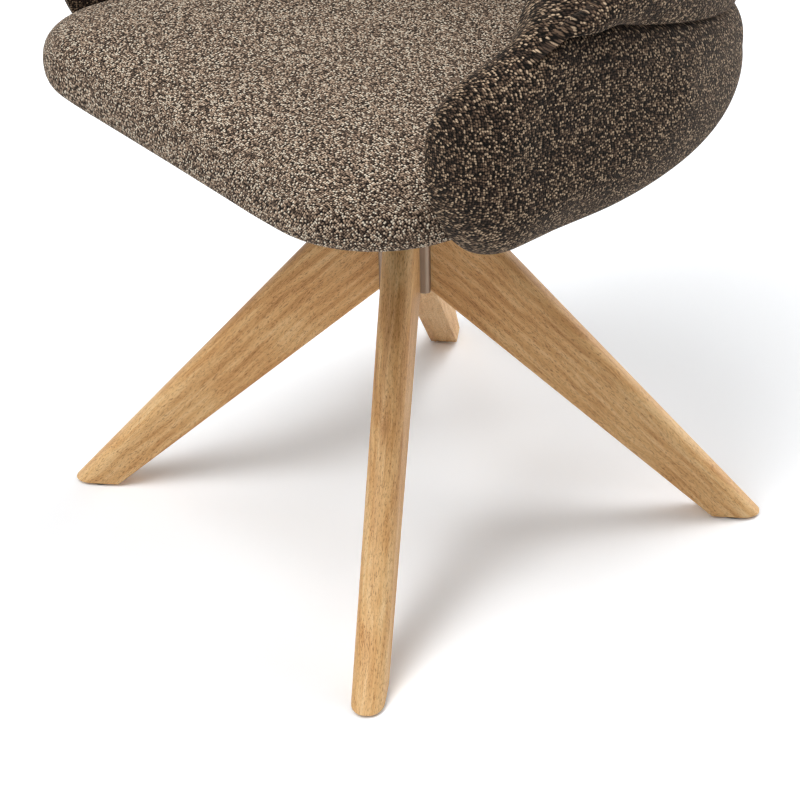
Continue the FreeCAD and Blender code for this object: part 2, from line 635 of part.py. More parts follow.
def plate_fasteners():
    """Four screws up through the plate, each in a tee nut let into the seat board."""
    screws = []
    nuts = []
    for number, (x_sign, y_sign) in enumerate(((1, 1), (-1, 1), (-1, -1), (1, -1))):
        head = doc.addObject("Part::Cylinder", "plate_screw_head_%d" % number)
        bind(head, Radius="sizes.plate_head_radius", Height="sizes.plate_head_height",
             Placement__Base__z=PLATE_BASE + " - sizes.plate_head_height")
        shank = doc.addObject("Part::Cylinder", "plate_screw_shank_%d" % number)
        bind(shank, Radius="sizes.plate_screw_radius",
             Height="sizes.plate_thickness + sizes.board_thickness", Placement__Base__z=PLATE_BASE)
        key = doc.addObject("Part::Prism", "plate_screw_key_%d" % number)
        key.Polygon = 6
        bind(key, Circumradius="2.3", Height="2",
             Placement__Base__z=PLATE_BASE + " - sizes.plate_head_height")
        screw = cut("plate_screw_%d" % number, fuse("plate_screw_solid_%d" % number, [head, shank]),
                    key)
        barrel = doc.addObject("Part::Cylinder", "tee_barrel_%d" % number)
        bind(barrel, Radius="sizes.tee_barrel", Height="sizes.board_thickness - 3",
             Placement__Base__z="sizes.seat_under + 3")
        flange = doc.addObject("Part::Cylinder", "tee_flange_%d" % number)
        bind(flange, Radius="sizes.tee_flange", Height="sizes.tee_flange_height",
             Placement__Base__z="sizes.seat_under + sizes.board_thickness")
        thread = doc.addObject("Part::Cylinder", "tee_thread_%d" % number)
        bind(thread, Radius="sizes.plate_screw_radius", Height="40",
             Placement__Base__z="sizes.seat_under - 10")
        nut = cut("tee_nut_%d" % number, fuse("tee_solid_%d" % number, [barrel, flange]), thread)
        spot = V(x_sign * size("plate_hole"), y_sign * size("plate_hole"), 0)
        for piece in (screw, nut):
            piece.Placement = FreeCAD.Placement(spot, FreeCAD.Rotation())
        screws.append(screw)
        nuts.append(nut)
    for label, pieces in (("plate_screws", screws), ("tee_nuts", nuts)):
        group = doc.addObject("Part::Compound", label)
        group.Links = pieces
        keep(group, label)
    doc.recompute()
    return group


# Seat: plan outline shared by the board and the cushion

def arc(start, middle, end):
    return Part.Arc(start, middle, end).toShape()


def line(start, end):
    return Part.LineSegment(start, end).toShape()


def seat_outline(inset, height):
    """Rounded front corners, straight sides and a round back, drawn in by inset."""
    half = size("seat_half_width") - inset
    front = -size("seat_front") + inset
    centre = size("round_centre")
    corner = max(size("seat_corner") - 0.7 * inset, half * 0.35)
    reach = corner * math.sqrt(0.5)
    low = V(half - corner, front, height)
    bend = V(half - corner + reach, front + corner - reach, height)
    side = V(half, front + corner, height)
    hip = V(half, centre, height)
    behind = V(half * math.sqrt(0.5), centre + half * math.sqrt(0.5), height)
    back = V(0, centre + half, height)

    def other(spot):
        return V(-spot.x, spot.y, spot.z)

    edges = [
        line(other(low), low),
        arc(low, bend, side),
        line(side, hip),
        arc(hip, behind, back),
        arc(back, other(behind), other(hip)),
        line(other(hip), other(side)),
        arc(other(side), other(bend), other(low)),
    ]
    return Part.Wire(edges)


def seat_board(wood_screws):
    """Plywood board inside the underside of the cushion, drilled for its fasteners."""
    face = Part.Face(seat_outline(size("board_inset"), size("seat_under")))
    blank = face.extrude(UP * size("board_thickness"))
    board = blank
    for x_sign in (1, -1):
        for y_sign in (1, -1):
            spot = V(x_sign * size("plate_hole"), y_sign * size("plate_hole"), size("seat_under"))
            board = board.cut(Part.makeCylinder(size("tee_barrel"), size("board_thickness"), spot))
    for screw in wood_screws.Shape.Solids:
        board = board.cut(screw)
    by_code("seat_board", board)
    return blank


def seat_cushion(board_blank, nuts):
    """Foam and cover: rounded rim, drawn-in underside and a low crown on top."""
    base = size("seat_under")
    edge = size("seat_edge_height")
    crown = size("seat_crown")
    # Height and inset of each level, from the drawn-in underside over the rim to the crown.
    levels = [
        (base, 18),
        (base + 0.07 * edge, 8),
        (base + 0.22 * edge, 2),
        (base + 0.42 * edge, 0),
        (base + 0.66 * edge, 1.5),
        (base + 0.86 * edge, 8),
        (base + edge, 22),
        (base + edge + 0.34 * crown, 46),
        (base + edge + 0.66 * crown, 84),
        (base + edge + 0.88 * crown, 126),
        (base + edge + crown, 165),
    ]
    outlines = [seat_outline(inset, height) for height, inset in levels]
    cushion = Part.makeLoft(outlines, True, True)
    return by_code("seat_cushion", cushion.cut(board_blank).cut(nuts.Shape))


def dust_cover():
    """Thin black felt under the board, open around the swivel plate."""
    base = size("seat_under") - size("cover_thickness")
    height = size("cover_thickness")
    outline = seat_outline(size("seat_half_width") - size("cover_half"), base)
    felt = Part.Face(outline).extrude(UP * height)
    opening = size("plate_half") + 2
    middle = Part.makeBox(2 * opening, 2 * opening, height, V(-opening, -opening, base))
    return by_code("dust_cover", felt.cut(middle))


# Tub frame: steel rails, posts and brackets

def bent_rail(radius, round_radius, centre, front, outer_only):
    """A tube bent as a U in the XY plane: two straight arms and a half circle."""
    left_front = V(round_radius, front, 0)
    left_bend = V(round_radius, centre, 0)
    back = V(0, centre + round_radius, 0)
    right_bend = V(-round_radius, centre, 0)
    right_front = V(-round_radius, front, 0)
    slant = round_radius * math.sqrt(0.5)
    path = Part.Wire([
        line(left_front, left_bend),
        arc(left_bend, V(slant, centre + slant, 0), back),
        arc(back, V(-slant, centre + slant, 0), right_bend),
        line(right_bend, right_front),
    ])

    def swept(tube_radius):
        profile = Part.Wire([Part.makeCircle(tube_radius, left_front, V(0, 1, 0))])
        return path.makePipeShell([profile], True, False)

    solid = swept(radius)
    if outer_only:
        return solid
    return solid.cut(swept(radius - size("rail_wall")))


def rail_solid(which, outer_only):
    """The lower rail is level; the upper one lies in a plane that climbs to the back."""
    if which == "low":
        shape = bent_rail(size("rail_radius"), size("low_rail_round"), size("round_centre"),
                          size("low_rail_front"), outer_only)
        place = FreeCAD.Placement(V(0, 0, size("low_rail_height")), FreeCAD.Rotation())
    else:
        slope = math.radians(size("high_rail_slope"))
        shape = bent_rail(size("rail_radius"), size("high_rail_round"), size("high_rail_centre"),
                          0, outer_only)
        place = FreeCAD.Placement(
            V(0, size("high_rail_front"), size("high_rail_front_height")),
            FreeCAD.Rotation(V(1, 0, 0), math.degrees(slope)))
    shape.Placement = place
    return shape


def high_rail_point(x_sign, along):
    """A point on the upper rail's middle line, at an angle round its bend, in degrees."""
    slope = math.radians(size("high_rail_slope"))
    turn = math.radians(along)
    reach = size("high_rail_round")
    across = x_sign * reach * math.cos(turn)
    run = size("high_rail_centre") + reach * math.sin(turn)
    return V(across, size("high_rail_front") + run * math.cos(slope),
             size("high_rail_front_height") + run * math.sin(slope))


def post(label, low, high, rails):
    """A straight rod between the rails, its ends coped to them."""
    along = high - low
    rod = Part.makeCylinder(size("post_radius"), along.Length, low, along)
    for rail in rails:
        rod = rod.cut(rail)
    longest = max(rod.Solids, key=lambda solid: solid.Volume)
    return by_code(label, longest)


def tub_frame():
    """Rails, posts and brackets; returns their outer solids for the foam to be moulded round."""
    low_outer = rail_solid("low", True)
    high_outer = rail_solid("high", True)
    by_code("lower_rail", rail_solid("low", False))
    by_code("upper_rail", rail_solid("high", False))
    solids = [low_outer, high_outer]
    centre = size("round_centre")
    reach = size("low_rail_round")
    rear_turn = math.radians(56)
    slope = math.radians(size("high_rail_slope"))
    front_run = 0.09 * reach
    for side, x_sign in (("left", 1), ("right", -1)):
        front_low = V(x_sign * reach, size("high_rail_front") + front_run, size("low_rail_height"))
        front_high = V(x_sign * size("high_rail_round"), size("high_rail_front") + front_run,
                       size("high_rail_front_height") + front_run * math.tan(slope))
        rear_low = V(x_sign * reach * math.cos(rear_turn), centre + reach * math.sin(rear_turn),
                     size("low_rail_height"))
        rear_high = high_rail_point(x_sign, 58)
        for place, low, high in (("front", front_low, front_high), ("rear", rear_low, rear_high)):
            rod = post("%s_%s_post" % (place, side), low, high, [low_outer, high_outer])
            solids.append(rod.Shape)
    for place, side, turn in (("front", "left", -17), ("front", "right", 197),
                              ("rear", "left", 52), ("rear", "right", 128)):
        solids.append(bracket("%s_%s_bracket" % (place, side), turn, low_outer).Shape)
    return solids


def bracket(label, turn, rail):
    """A flat strap under the seat board, turned up to the lower rail."""
    width = size("bracket_width")
    thick = size("bracket_thickness")
    inner = size("bracket_inner")
    outer = size("low_rail_round") + thick / 2
    base = size("seat_under") - thick
    strap = Part.makeBox(outer - inner, width, thick, V(inner, -width / 2, base))
    upright = Part.makeBox(thick, width, size("low_rail_height") - base,
                           V(outer - thick, -width / 2, base))
    shape = strap.fuse(upright).removeSplitter()
    for step in (8, 20):
        shape = shape.cut(Part.makeCylinder(2.2, thick * 3, V(inner + step, 0, base - thick)))
    if turn < 0 or turn > 180:
        # On the straight arms the strap points square outwards.
        x_sign = 1 if turn < 0 else -1
        shape.Placement = FreeCAD.Placement(V(0, size("round_centre") - 66, 0),
                                            FreeCAD.Rotation(UP, 0 if x_sign > 0 else 180))
    else:
        shape.Placement = FreeCAD.Placement(V(0, size("round_centre"), 0), FreeCAD.Rotation(UP, turn))
    shape = shape.cut(rail)
    return by_code(label, max(shape.Solids, key=lambda solid: solid.Volume))


def bracket_spots():
    """Where the bracket screws stand, in plan."""
    centre = size("round_centre")
    for turn in (-17, 197, 52, 128):
        for step in (8, 20):
            reach = size("bracket_inner") + step
            if turn < 0 or turn > 180:
                yield V(reach if turn < 0 else -reach, centre - 66, 0)
            else:
                angle = math.radians(turn)
                yield V(reach * math.cos(angle), centre + reach * math.sin(angle), 0)


def bracket_screws():
    """Pan-head wood screws up through the brackets."""
    base = size("seat_under") - size("bracket_thickness")
    pieces = []
    for spot in bracket_spots():
        head = Part.makeCylinder(4, 2.4, spot + UP * (base - 2.4))
        shank = Part.makeCylinder(2, 13, spot + UP * base)
        pieces.append(head.fuse(shank))
    return by_code("bracket_screws", Part.makeCompound(pieces))


# Tub upholstery

def ramp(value, low, high):
    """Smooth step from 0 at low to 1 at high."""
    part = min(max((value - low) / (high - low), 0), 1)
    return part * part * (3 - 2 * part)


def tub_station(run):
    """Where a section stands, run being the distance along the tub wall from the wing's shoulder.

    Gives the outermost point in plan, the outward direction, and the way the wall leans.
    """
    shoulder = -size("wing_tip") + 46
    straight = size("round_centre") - shoulder
    radius = size("shell_radius")
    if run <= straight:
        along = shoulder + run
        nose_start = -size("wing_tip") + size("wing_nose")
        drawn = 0
        if along < nose_start:
            nose = size("wing_nose")
            drawn = nose - math.sqrt(nose * nose - (nose_start - along) ** 2)
        return V(radius - drawn, along, 0), V(1, 0, 0), 0.2 * size("back_lean"), drawn
    turn = (run - straight) / radius
    outward = V(math.cos(turn), math.sin(turn), 0)
    lean = size("back_lean") * (0.2 + 0.8 * ramp(abs(math.sin(turn)), 0, 1))
    return V(0, size("round_centre"), 0) + outward * radius, outward, lean, 0


def tub_heights(run, place):
    """Lower edge, top and crease height of the wall."""
    tip = size("wing_tip")
    level = size("wing_tip_height")
    low = size("shell_bottom")
    if run < 20:
        share = min((20 - run) / 66, 1)
        low = level - (level - size("shell_bottom")) * math.sqrt(1 - share * share)
    top = size("wing_shoulder")
    if run < 0:
        share = min(-run / 46, 1)
        top = level + (size("wing_shoulder") - level) * math.sqrt(1 - share * share)
    half_round = (size("round_centre") + tip - 46) + size("shell_radius") * math.pi / 2
    top += size("arm_rise") * ramp(run, -30, 170)
    top += size("back_rise") * ramp(run, 150, half_round)
    crease = size("crease_height") + 0.08 * max(size("round_centre") - place.y, 0)
    if place.y > size("round_centre"):
        crease -= size("crease_fall") * (place.y - size("round_centre")) / size("shell_radius")
    return low, top, crease


def tub_section(run, mirrored=False):
    """A closed section of the wall, square to its run: outside, crease, rounded top and inside."""
    half_round = (size("round_centre") + size("wing_tip") - 46) + size("shell_radius") * math.pi / 2
    folded = run if run <= half_round else 2 * half_round - run
    place, outward, lean, drawn = tub_station(folded)
    low, top, crease = tub_heights(folded, place)
    upper = ramp(folded, 30, 95)
    wall = size("shell_wall") - drawn
    crease = min(crease, low + 0.78 * (top - low))
    bulge = low + 0.62 * (crease - low)
    dent = wall * 0.12 * (1 - upper) + size("crease_depth") * upper
    high_wall = wall + (size("shell_wall_high") - size("shell_wall")) * upper
    drop = min(26, 0.2 * (top - crease) + 4)
    shoulder = -wall * 0.5 * (1 - upper) - 9 * upper
    belly = (-wall * 0.3) * (1 - upper) + size("upper_bulge") * upper
    seat_level = size("seat_under") + size("seat_edge_height") + 14
    inner_foot = min(max(seat_level, low + 0.35 * (top - low)), low + 0.6 * (top - low))

    def spot(offset, height):
        lean_out = lean * max(height - size("crease_height"), 0) if upper > 0 else 0
        distance = offset + lean_out
        return place + outward * distance + UP * height

    points = [
        spot(-wall, low),
        spot(-wall * 0.26, low + 0.3 * (bulge - low)),
        spot(0, bulge),
        spot(-0.25 * dent, (bulge + crease) / 2 + 4),
        spot(-dent, crease),
        spot(belly, (crease + top - drop) / 2),
        spot(shoulder, top - drop),
        spot((shoulder - high_wall) / 2, top),
        spot(-high_wall, top - 0.9 * drop),
        spot(-wall, inner_foot),
    ]
    if run > half_round or mirrored:
        points = [V(-p.x, p.y, p.z) for p in points]
    return Part.Wire([
        arc(points[0], points[1], points[2]),
        arc(points[2], points[3], points[4]),
        arc(points[4], points[5], points[6]),
        arc(points[6], points[7], points[8]),
        line(points[8], points[9]),
        line(points[9], points[0]),
    ])


def tub_pads(frame_solids):
    """Two wings and the round back, moulded round the frame."""
    straight = size("round_centre") + size("wing_tip") - 46
    quarter = size("shell_radius") * math.pi / 2
    wing_runs = [-44.5, -42.5, -39, -33, -25, -15, -4, 8, 20, 33, 46, 59, 72, 84, straight]
    back_runs = [straight + quarter * step / 6 for step in range(13)]
    wing = Part.makeLoft([tub_section(run) for run in wing_runs], True, True)
    other = Part.makeLoft([tub_section(run, True) for run in wing_runs], True, True)
    back = Part.makeLoft([tub_section(run) for run in back_runs], True, False)
    for label, pad in (("left_wing_pad", wing), ("right_wing_pad", other), ("back_pad", back)):
        for solid in frame_solids:
            if pad.BoundBox.intersect(solid.BoundBox):
                pad = pad.cut(solid)
        by_code(label, max(pad.Solids, key=lambda solid: solid.Volume))


LEG_NAMES = [("leg_front_left", -1), ("leg_front_right", -3), ("leg_rear_left", 1), ("leg_rear_right", 3)]
for leg_name, quarter_turns in LEG_NAMES:
    leg(leg_name, quarter_turns * size("leg_turn"))
hub_tube()
hub_fittings()
around_hub("leg_bolts", button_bolt, size("hub_width") / 2 - size("hub_wall"))
around_hub("leg_inserts", threaded_insert, size("leg_root_face"))
glides()
bearing()
spindle()
swivel_plate()
tee_nuts = plate_fasteners()
seat_cushion(seat_board(bracket_screws()), tee_nuts)
dust_cover()
tub_pads(tub_frame())
doc.recompute()

for piece in PARTS:
    piece.Placement.Base = piece.Placement.Base - V(0, size("axis_forward"), 0)
doc.recompute()

for thing in doc.Objects:
    bad = [state for state in thing.State if state in ("Invalid", "Error")]
    assert not bad, "%s: %s" % (thing.Name, bad)
for piece in PARTS:
    assert not piece.Shape.isNull(), piece.Label
    assert piece.Shape.isValid(), piece.Label
    assert piece.Shape.Solids, piece.Label

os.makedirs("parts", exist_ok=True)
for piece in PARTS:
    piece.Shape.exportStep("parts/%s.step" % piece.Label)
    print("%-20s %2d solids %10.0f mm3" % (piece.Label, len(piece.Shape.Solids), piece.Shape.Volume))
print(len(PARTS), "sub-parts")
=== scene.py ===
import math

import bpy
import numpy as np
from mathutils import Matrix


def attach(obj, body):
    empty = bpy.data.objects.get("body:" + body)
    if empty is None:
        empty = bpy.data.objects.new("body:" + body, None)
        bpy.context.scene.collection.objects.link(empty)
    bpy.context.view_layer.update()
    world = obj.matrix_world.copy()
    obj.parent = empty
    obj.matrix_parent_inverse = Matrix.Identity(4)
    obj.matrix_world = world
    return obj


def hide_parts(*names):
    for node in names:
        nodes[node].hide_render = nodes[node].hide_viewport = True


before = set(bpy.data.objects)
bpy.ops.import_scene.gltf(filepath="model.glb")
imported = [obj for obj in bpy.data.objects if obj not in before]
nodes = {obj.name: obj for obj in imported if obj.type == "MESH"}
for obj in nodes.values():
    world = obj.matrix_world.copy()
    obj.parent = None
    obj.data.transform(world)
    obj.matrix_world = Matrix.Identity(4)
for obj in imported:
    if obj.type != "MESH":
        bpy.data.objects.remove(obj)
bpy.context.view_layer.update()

MM = 0.001
# the swivel axis stands 20 mm in front of the frame's origin
SWIVEL_Y = -0.020


# The studio

def aim_camera():
    """The photograph looks down on the front right of the chair and cuts the backrest off."""
    camera = bpy.data.objects.new("camera", bpy.data.cameras.new("camera"))
    camera.data.sensor_width = 36
    camera.data.lens = 97.0
    right = (0.61467534, 0.78849855, -0.02107749)
    up = (-0.40871273, 0.34123979, 0.84646873)
    back = (0.67463184, -0.51168881, 0.53202108)
    place = Matrix((right, up, back)).transposed().to_4x4()
    place.translation = (1.32004, -1.03281, 1.15007)
    camera.matrix_world = place
    bpy.context.scene.collection.objects.link(camera)
    bpy.context.scene.camera = camera


LAMP_WIDTH = 26


def hang_lamps():
    """Broad soft lamps in front of and behind the chair, a few to its sides and one above. Each
    looks LAMP_WIDTH degrees wide."""
    lamps = [
        # height and direction in degrees, share of the floor's light
        (72, 270, 0.25), (54, 90, 0.17), (54, 270, 0.19), (72, 90, 0.13),
        (54, 300, 0.05), (54, 60, 0.07), (12, 90, 0.05), (90, 0, 0.06),
        (50, 0, 0.03), (24, 60, 0.05), (50, 180, 0.04), (36, 275, 0.11),
    ]
    for number, (height, turn, share) in enumerate(lamps):
        lamp = bpy.data.lights.new(f"lamp_{number}", "SUN")
        lamp.angle = math.radians(LAMP_WIDTH)
        lamp.energy = share * math.pi / math.sin(math.radians(height))
        holder = bpy.data.objects.new(lamp.name, lamp)
        holder.rotation_euler = (0, math.radians(90 - height), math.radians(turn))
        bpy.context.scene.collection.objects.link(holder)


def shader_tree(name):
    """A new material and its cleared node tree."""
    material = bpy.data.materials.new(name)
    material.use_nodes = True
    material.node_tree.nodes.clear()
    return material, material.node_tree


def add_node(tree, kind, settings=(), **links):
    """Adds a node. Settings are attributes of the node, or the stops of a colour ramp as places
    and hex colours; links are socket values or other sockets."""
    node = tree.nodes.new(kind)
    for name, value in dict(settings).items():
        if name != "stops":
            setattr(node, name, value)
            continue
        while len(node.color_ramp.elements) < len(value):
            node.color_ramp.elements.new(0.5)
        for element, (place, code) in zip(node.color_ramp.elements, value):
            element.position = place
            element.color = linear(code)
    for name, value in links.items():
        key = int(name[1:]) if name[0] == "i" and name[1:].isdigit() else name.replace("_", " ")
        socket = node.inputs[key]
        if isinstance(value, bpy.types.NodeSocket):
            tree.links.new(value, socket)
        else:
            socket.default_value = value
    return node


def linear(code):
    """An sRGB hex colour as linear red, green, blue and alpha."""
    parts = [int(code[i:i + 2], 16) / 255 for i in (1, 3, 5)]
    return tuple(p / 12.92 if p <= 0.04045 else ((p + 0.055) / 1.055) ** 2.4 for p in parts) + (1.0,)


def seen_directly(tree):
    """1 for what the camera, a mirror or glass sees, 0 for light that lands on the object."""
    path = add_node(tree, "ShaderNodeLightPath")
    first = add_node(tree, "ShaderNodeMath", {"operation": "MAXIMUM"},
                     i0=path.outputs["Is Camera Ray"], i1=path.outputs["Is Glossy Ray"])
    return add_node(tree, "ShaderNodeMath", {"operation": "MAXIMUM"},
                    i0=first.outputs[0], i1=path.outputs["Is Transmission Ray"]).outputs[0]


def lay_floor():
    """Plain white studio floor. Seen directly it is as over-exposed as the photograph's."""
    bpy.ops.object.select_all(action="DESELECT")
    bpy.ops.mesh.primitive_grid_add(x_subdivisions=2, y_subdivisions=2, size=60, location=(0, 0, 0))
    floor = bpy.context.object
    floor.name = "studio_floor"
    material, tree = shader_tree("matt_white_studio_paint")
    plain = add_node(tree, "ShaderNodeBsdfDiffuse", Color=linear("#e2e2e2"))
    bright = add_node(tree, "ShaderNodeBsdfDiffuse", Color=linear("#fcfcfc"))
    more = add_node(tree, "ShaderNodeBsdfDiffuse", Color=linear("#7a8087"))
    both = add_node(tree, "ShaderNodeAddShader", i0=bright.outputs[0], i1=more.outputs[0])
    mix = add_node(tree, "ShaderNodeMixShader", i0=seen_directly(tree),
                   i1=plain.outputs[0], i2=both.outputs[0])
    add_node(tree, "ShaderNodeOutputMaterial", Surface=mix.outputs[0])
    floor.data.materials.append(material)


def light_world():
    """A white surround where it is seen, and a faint even fill on the object."""
    world = bpy.data.worlds.new("studio")
    bpy.context.scene.world = world
    world.use_nodes = True
    tree = world.node_tree
    tree.nodes.clear()
    fill = add_node(tree, "ShaderNodeBackground", Color=(1, 1, 1, 1), Strength=0.04)
    white = add_node(tree, "ShaderNodeBackground", Color=(1, 1, 1, 1), Strength=1.0)
    mix = add_node(tree, "ShaderNodeMixShader", i0=seen_directly(tree),
                   i1=fill.outputs[0], i2=white.outputs[0])
    add_node(tree, "ShaderNodeOutputWorld", Surface=mix.outputs[0])


bpy.context.scene.view_settings.view_transform = "Standard"
aim_camera()
hang_lamps()
lay_floor()
light_world()


# Materials

LEG_SLOPE = math.radians(-46)
MULTIPLY = {"data_type": "RGBA", "blend_type": "MULTIPLY"}


def oak(name, turn):
    """Pale oiled oak. The grain runs down the sloping leg, with short dark pores that show as
    dashes, a broad cathedral figure and a knot here and there. Turn is the leg's direction."""
    material, tree = shader_tree(name)
    here = add_node(tree, "ShaderNodeTexCoord").outputs["Object"]
    centred = add_node(tree, "ShaderNodeVectorMath", {"operation": "SUBTRACT"},
                       i0=here, i1=(0, SWIVEL_Y, 0)).outputs[0]
    level = add_node(tree, "ShaderNodeMapping", Vector=centred, Rotation=(0, 0, -turn)).outputs[0]
    grain = add_node(tree, "ShaderNodeMapping", Vector=level, Rotation=(0, LEG_SLOPE, 0)).outputs[0]
    # the fibres wander about 3 mm to either side over 100 mm
    place = add_node(tree, "ShaderNodeMapping", Vector=grain, Location=(turn, 0.3, 0.1),
                     Scale=(9, 24, 24)).outputs[0]
    wander = add_node(tree, "ShaderNodeTexNoise", Vector=place, Scale=1.0, Detail=2.0).outputs["Color"]
    shift = add_node(tree, "ShaderNodeVectorMath", {"operation": "SUBTRACT"},
                     i0=wander, i1=(0.5, 0.5, 0.5)).outputs[0]
    bent = add_node(tree, "ShaderNodeVectorMath", {"operation": "MULTIPLY_ADD"},
                    i0=shift, i1=(0, 0.014, 0.014), i2=grain).outputs[0]
    # growth rings about 10 mm apart, cut at a slant so that they show as long arches
    place = add_node(tree, "ShaderNodeMapping", Vector=bent, Location=(0, 0.031, 0.07),
                     Rotation=(0, 0.10, 0.16)).outputs[0]
    rings = add_node(tree, "ShaderNodeTexWave",
                     {"wave_type": "RINGS", "rings_direction": "X", "wave_profile": "SIN"},
                     Vector=place, Scale=30.0, Distortion=1.4, Detail=3.0, Detail_Scale=1.0).outputs["Fac"]
    # streaks about 2 mm wide and a hundred long
    place = add_node(tree, "ShaderNodeMapping", Vector=bent, Location=(turn, 0, 0),
                     Scale=(8, 420, 420)).outputs[0]
    streak = add_node(tree, "ShaderNodeTexNoise", Vector=place, Scale=1.0, Detail=5.0,
                      Roughness=0.65).outputs["Fac"]
    # pores 0.6 mm wide and 4 mm long, a little coarser than real so that they show
    place = add_node(tree, "ShaderNodeMapping", Vector=bent, Location=(0, turn, 0),
                     Scale=(230, 1700, 1700)).outputs[0]
    pore = add_node(tree, "ShaderNodeTexNoise", Vector=place, Scale=1.0, Detail=2.0,
                    Roughness=0.7).outputs["Fac"]
    # lighter and darker stretches about 90 mm long
    cloud = add_node(tree, "ShaderNodeTexNoise", Vector=grain, Scale=11.0, Detail=2.0).outputs["Fac"]
    body = add_node(tree, "ShaderNodeMath", {"operation": "MULTIPLY"}, i0=rings, i1=0.09).outputs[0]
    body = add_node(tree, "ShaderNodeMath", {"operation": "MULTIPLY_ADD"},
                    i0=streak, i1=0.66, i2=body).outputs[0]
    body = add_node(tree, "ShaderNodeMath", {"operation": "MULTIPLY_ADD"},
                    i0=cloud, i1=0.40, i2=body).outputs[0]
    wood = [(0.36, "#b47f48"), (0.52, "#d8a469"), (0.64, "#e9bd83"), (0.82, "#f5d3a0")]
    colour = add_node(tree, "ShaderNodeValToRGB", {"stops": wood}, Fac=body).outputs[0]
    dark = add_node(tree, "ShaderNodeValToRGB", {"stops": [(0.36, "#a07850"), (0.46, "#ffffff")]},
                    Fac=pore).outputs[0]
    colour = add_node(tree, "ShaderNodeMix", MULTIPLY, i0=0.75, i6=colour, i7=dark).outputs[2]
    # knots: dark spots about 6 mm across with a paler rim
    place = add_node(tree, "ShaderNodeMapping", Vector=bent, Location=(turn, 0, 0),
                     Scale=(0.5, 1, 1)).outputs[0]
    knot = add_node(tree, "ShaderNodeTexVoronoi", Vector=place, Scale=11.0).outputs["Distance"]
    spots = [(0.0, "#5a3820"), (0.035, "#8a5f3a"), (0.06, "#ffffff")]
    spot = add_node(tree, "ShaderNodeValToRGB", {"stops": spots}, Fac=knot).outputs[0]
    colour = add_node(tree, "ShaderNodeMix", MULTIPLY, i0=0.8, i6=colour, i7=spot).outputs[2]
    bump = add_node(tree, "ShaderNodeBump", Strength=0.18, Distance=0.0004, Height=pore)
    skin = add_node(tree, "ShaderNodeBsdfPrincipled", Base_Color=colour, Roughness=0.52, IOR=1.5,
                    Specular_IOR_Level=0.35, Normal=bump.outputs[0])
    add_node(tree, "ShaderNodeOutputMaterial", Surface=skin.outputs[0])
    return material


BEAD = 0.0018


def tweed(name, lights):
    """Chunky taupe tweed: rows of knobbly yarn beads 1.8 mm apart, each its own shade of brown or beige,
    with dark gaps between: the dark ground yarn, darkened further with painted shade in the hollows between
    the beads. The beads follow the piece's own UV map weave. Lights are the yarn's shades from dark to
    pale."""
    material, tree = shader_tree(name)
    cloth = add_node(tree, "ShaderNodeAttribute", {"attribute_name": "weave"}).outputs["Vector"]
    # the rows sway about 1 mm over 15 mm
    sway = add_node(tree, "ShaderNodeTexNoise", Vector=cloth, Scale=70.0, Detail=2.0).outputs["Color"]
    off = add_node(tree, "ShaderNodeVectorMath", {"operation": "SUBTRACT"},
                   i0=sway, i1=(0.5, 0.5, 0.5)).outputs[0]
    yarn = add_node(tree, "ShaderNodeVectorMath", {"operation": "MULTIPLY_ADD"},
                    i0=off, i1=(0.004, 0.004, 0), i2=cloth).outputs[0]
    beads = add_node(tree, "ShaderNodeTexVoronoi", {"voronoi_dimensions": "2D"}, Vector=yarn,
                     Scale=1 / BEAD, Randomness=0.68)
    tone = add_node(tree, "ShaderNodeSeparateColor", Color=beads.outputs["Color"])
    # patches of lighter and darker yarn, about 6 mm across
    patch = add_node(tree, "ShaderNodeTexNoise", Vector=cloth, Scale=170.0, Detail=3.0,
                     Roughness=0.6).outputs["Fac"]
    pick = add_node(tree, "ShaderNodeMath", {"operation": "MULTIPLY"},
                    i0=tone.outputs[0], i1=0.90).outputs[0]
    pick = add_node(tree, "ShaderNodeMath", {"operation": "MULTIPLY_ADD"},
                    i0=patch, i1=0.22, i2=pick).outputs[0]
    shades = list(zip((0.15, 0.45, 0.74, 0.96), lights))
    colour = add_node(tree, "ShaderNodeValToRGB", {"stops": shades}, Fac=pick).outputs[0]
    # the gaps between beads go near black: the dark ground yarn, with painted shade in the hollows between
    # beads
    ground_and_gap_shade = add_node(tree, "ShaderNodeValToRGB", {"stops": [(0.24, "#ffffff"), (0.56, "#120e0c")]},
                   Fac=beads.outputs["Distance"]).outputs[0]
    colour = add_node(tree, "ShaderNodeMix", MULTIPLY, i0=1.0, i6=colour, i7=ground_and_gap_shade).outputs[2]
    # round beads with a fuzz of fibres 0.7 mm across
    fuzz = add_node(tree, "ShaderNodeTexNoise", Vector=cloth, Scale=1500.0, Detail=2.0).outputs["Fac"]
    height = add_node(tree, "ShaderNodeMath", {"operation": "MULTIPLY"}, i0=fuzz, i1=0.3).outputs[0]
    height = add_node(tree, "ShaderNodeMath", {"operation": "MULTIPLY_ADD"},
                      i0=beads.outputs["Distance"], i1=-1.0, i2=height).outputs[0]
    bump = add_node(tree, "ShaderNodeBump", Strength=0.8, Distance=0.0009, Height=height)
    skin = add_node(tree, "ShaderNodeBsdfPrincipled", Base_Color=colour, Roughness=0.95, IOR=1.45,
                    Specular_IOR_Level=0.15, Sheen_Weight=0.1, Sheen_Roughness=0.5,
                    Sheen_Tint=linear("#f1e4d3"), Normal=bump.outputs[0])
    add_node(tree, "ShaderNodeOutputMaterial", Surface=skin.outputs[0])
    return material


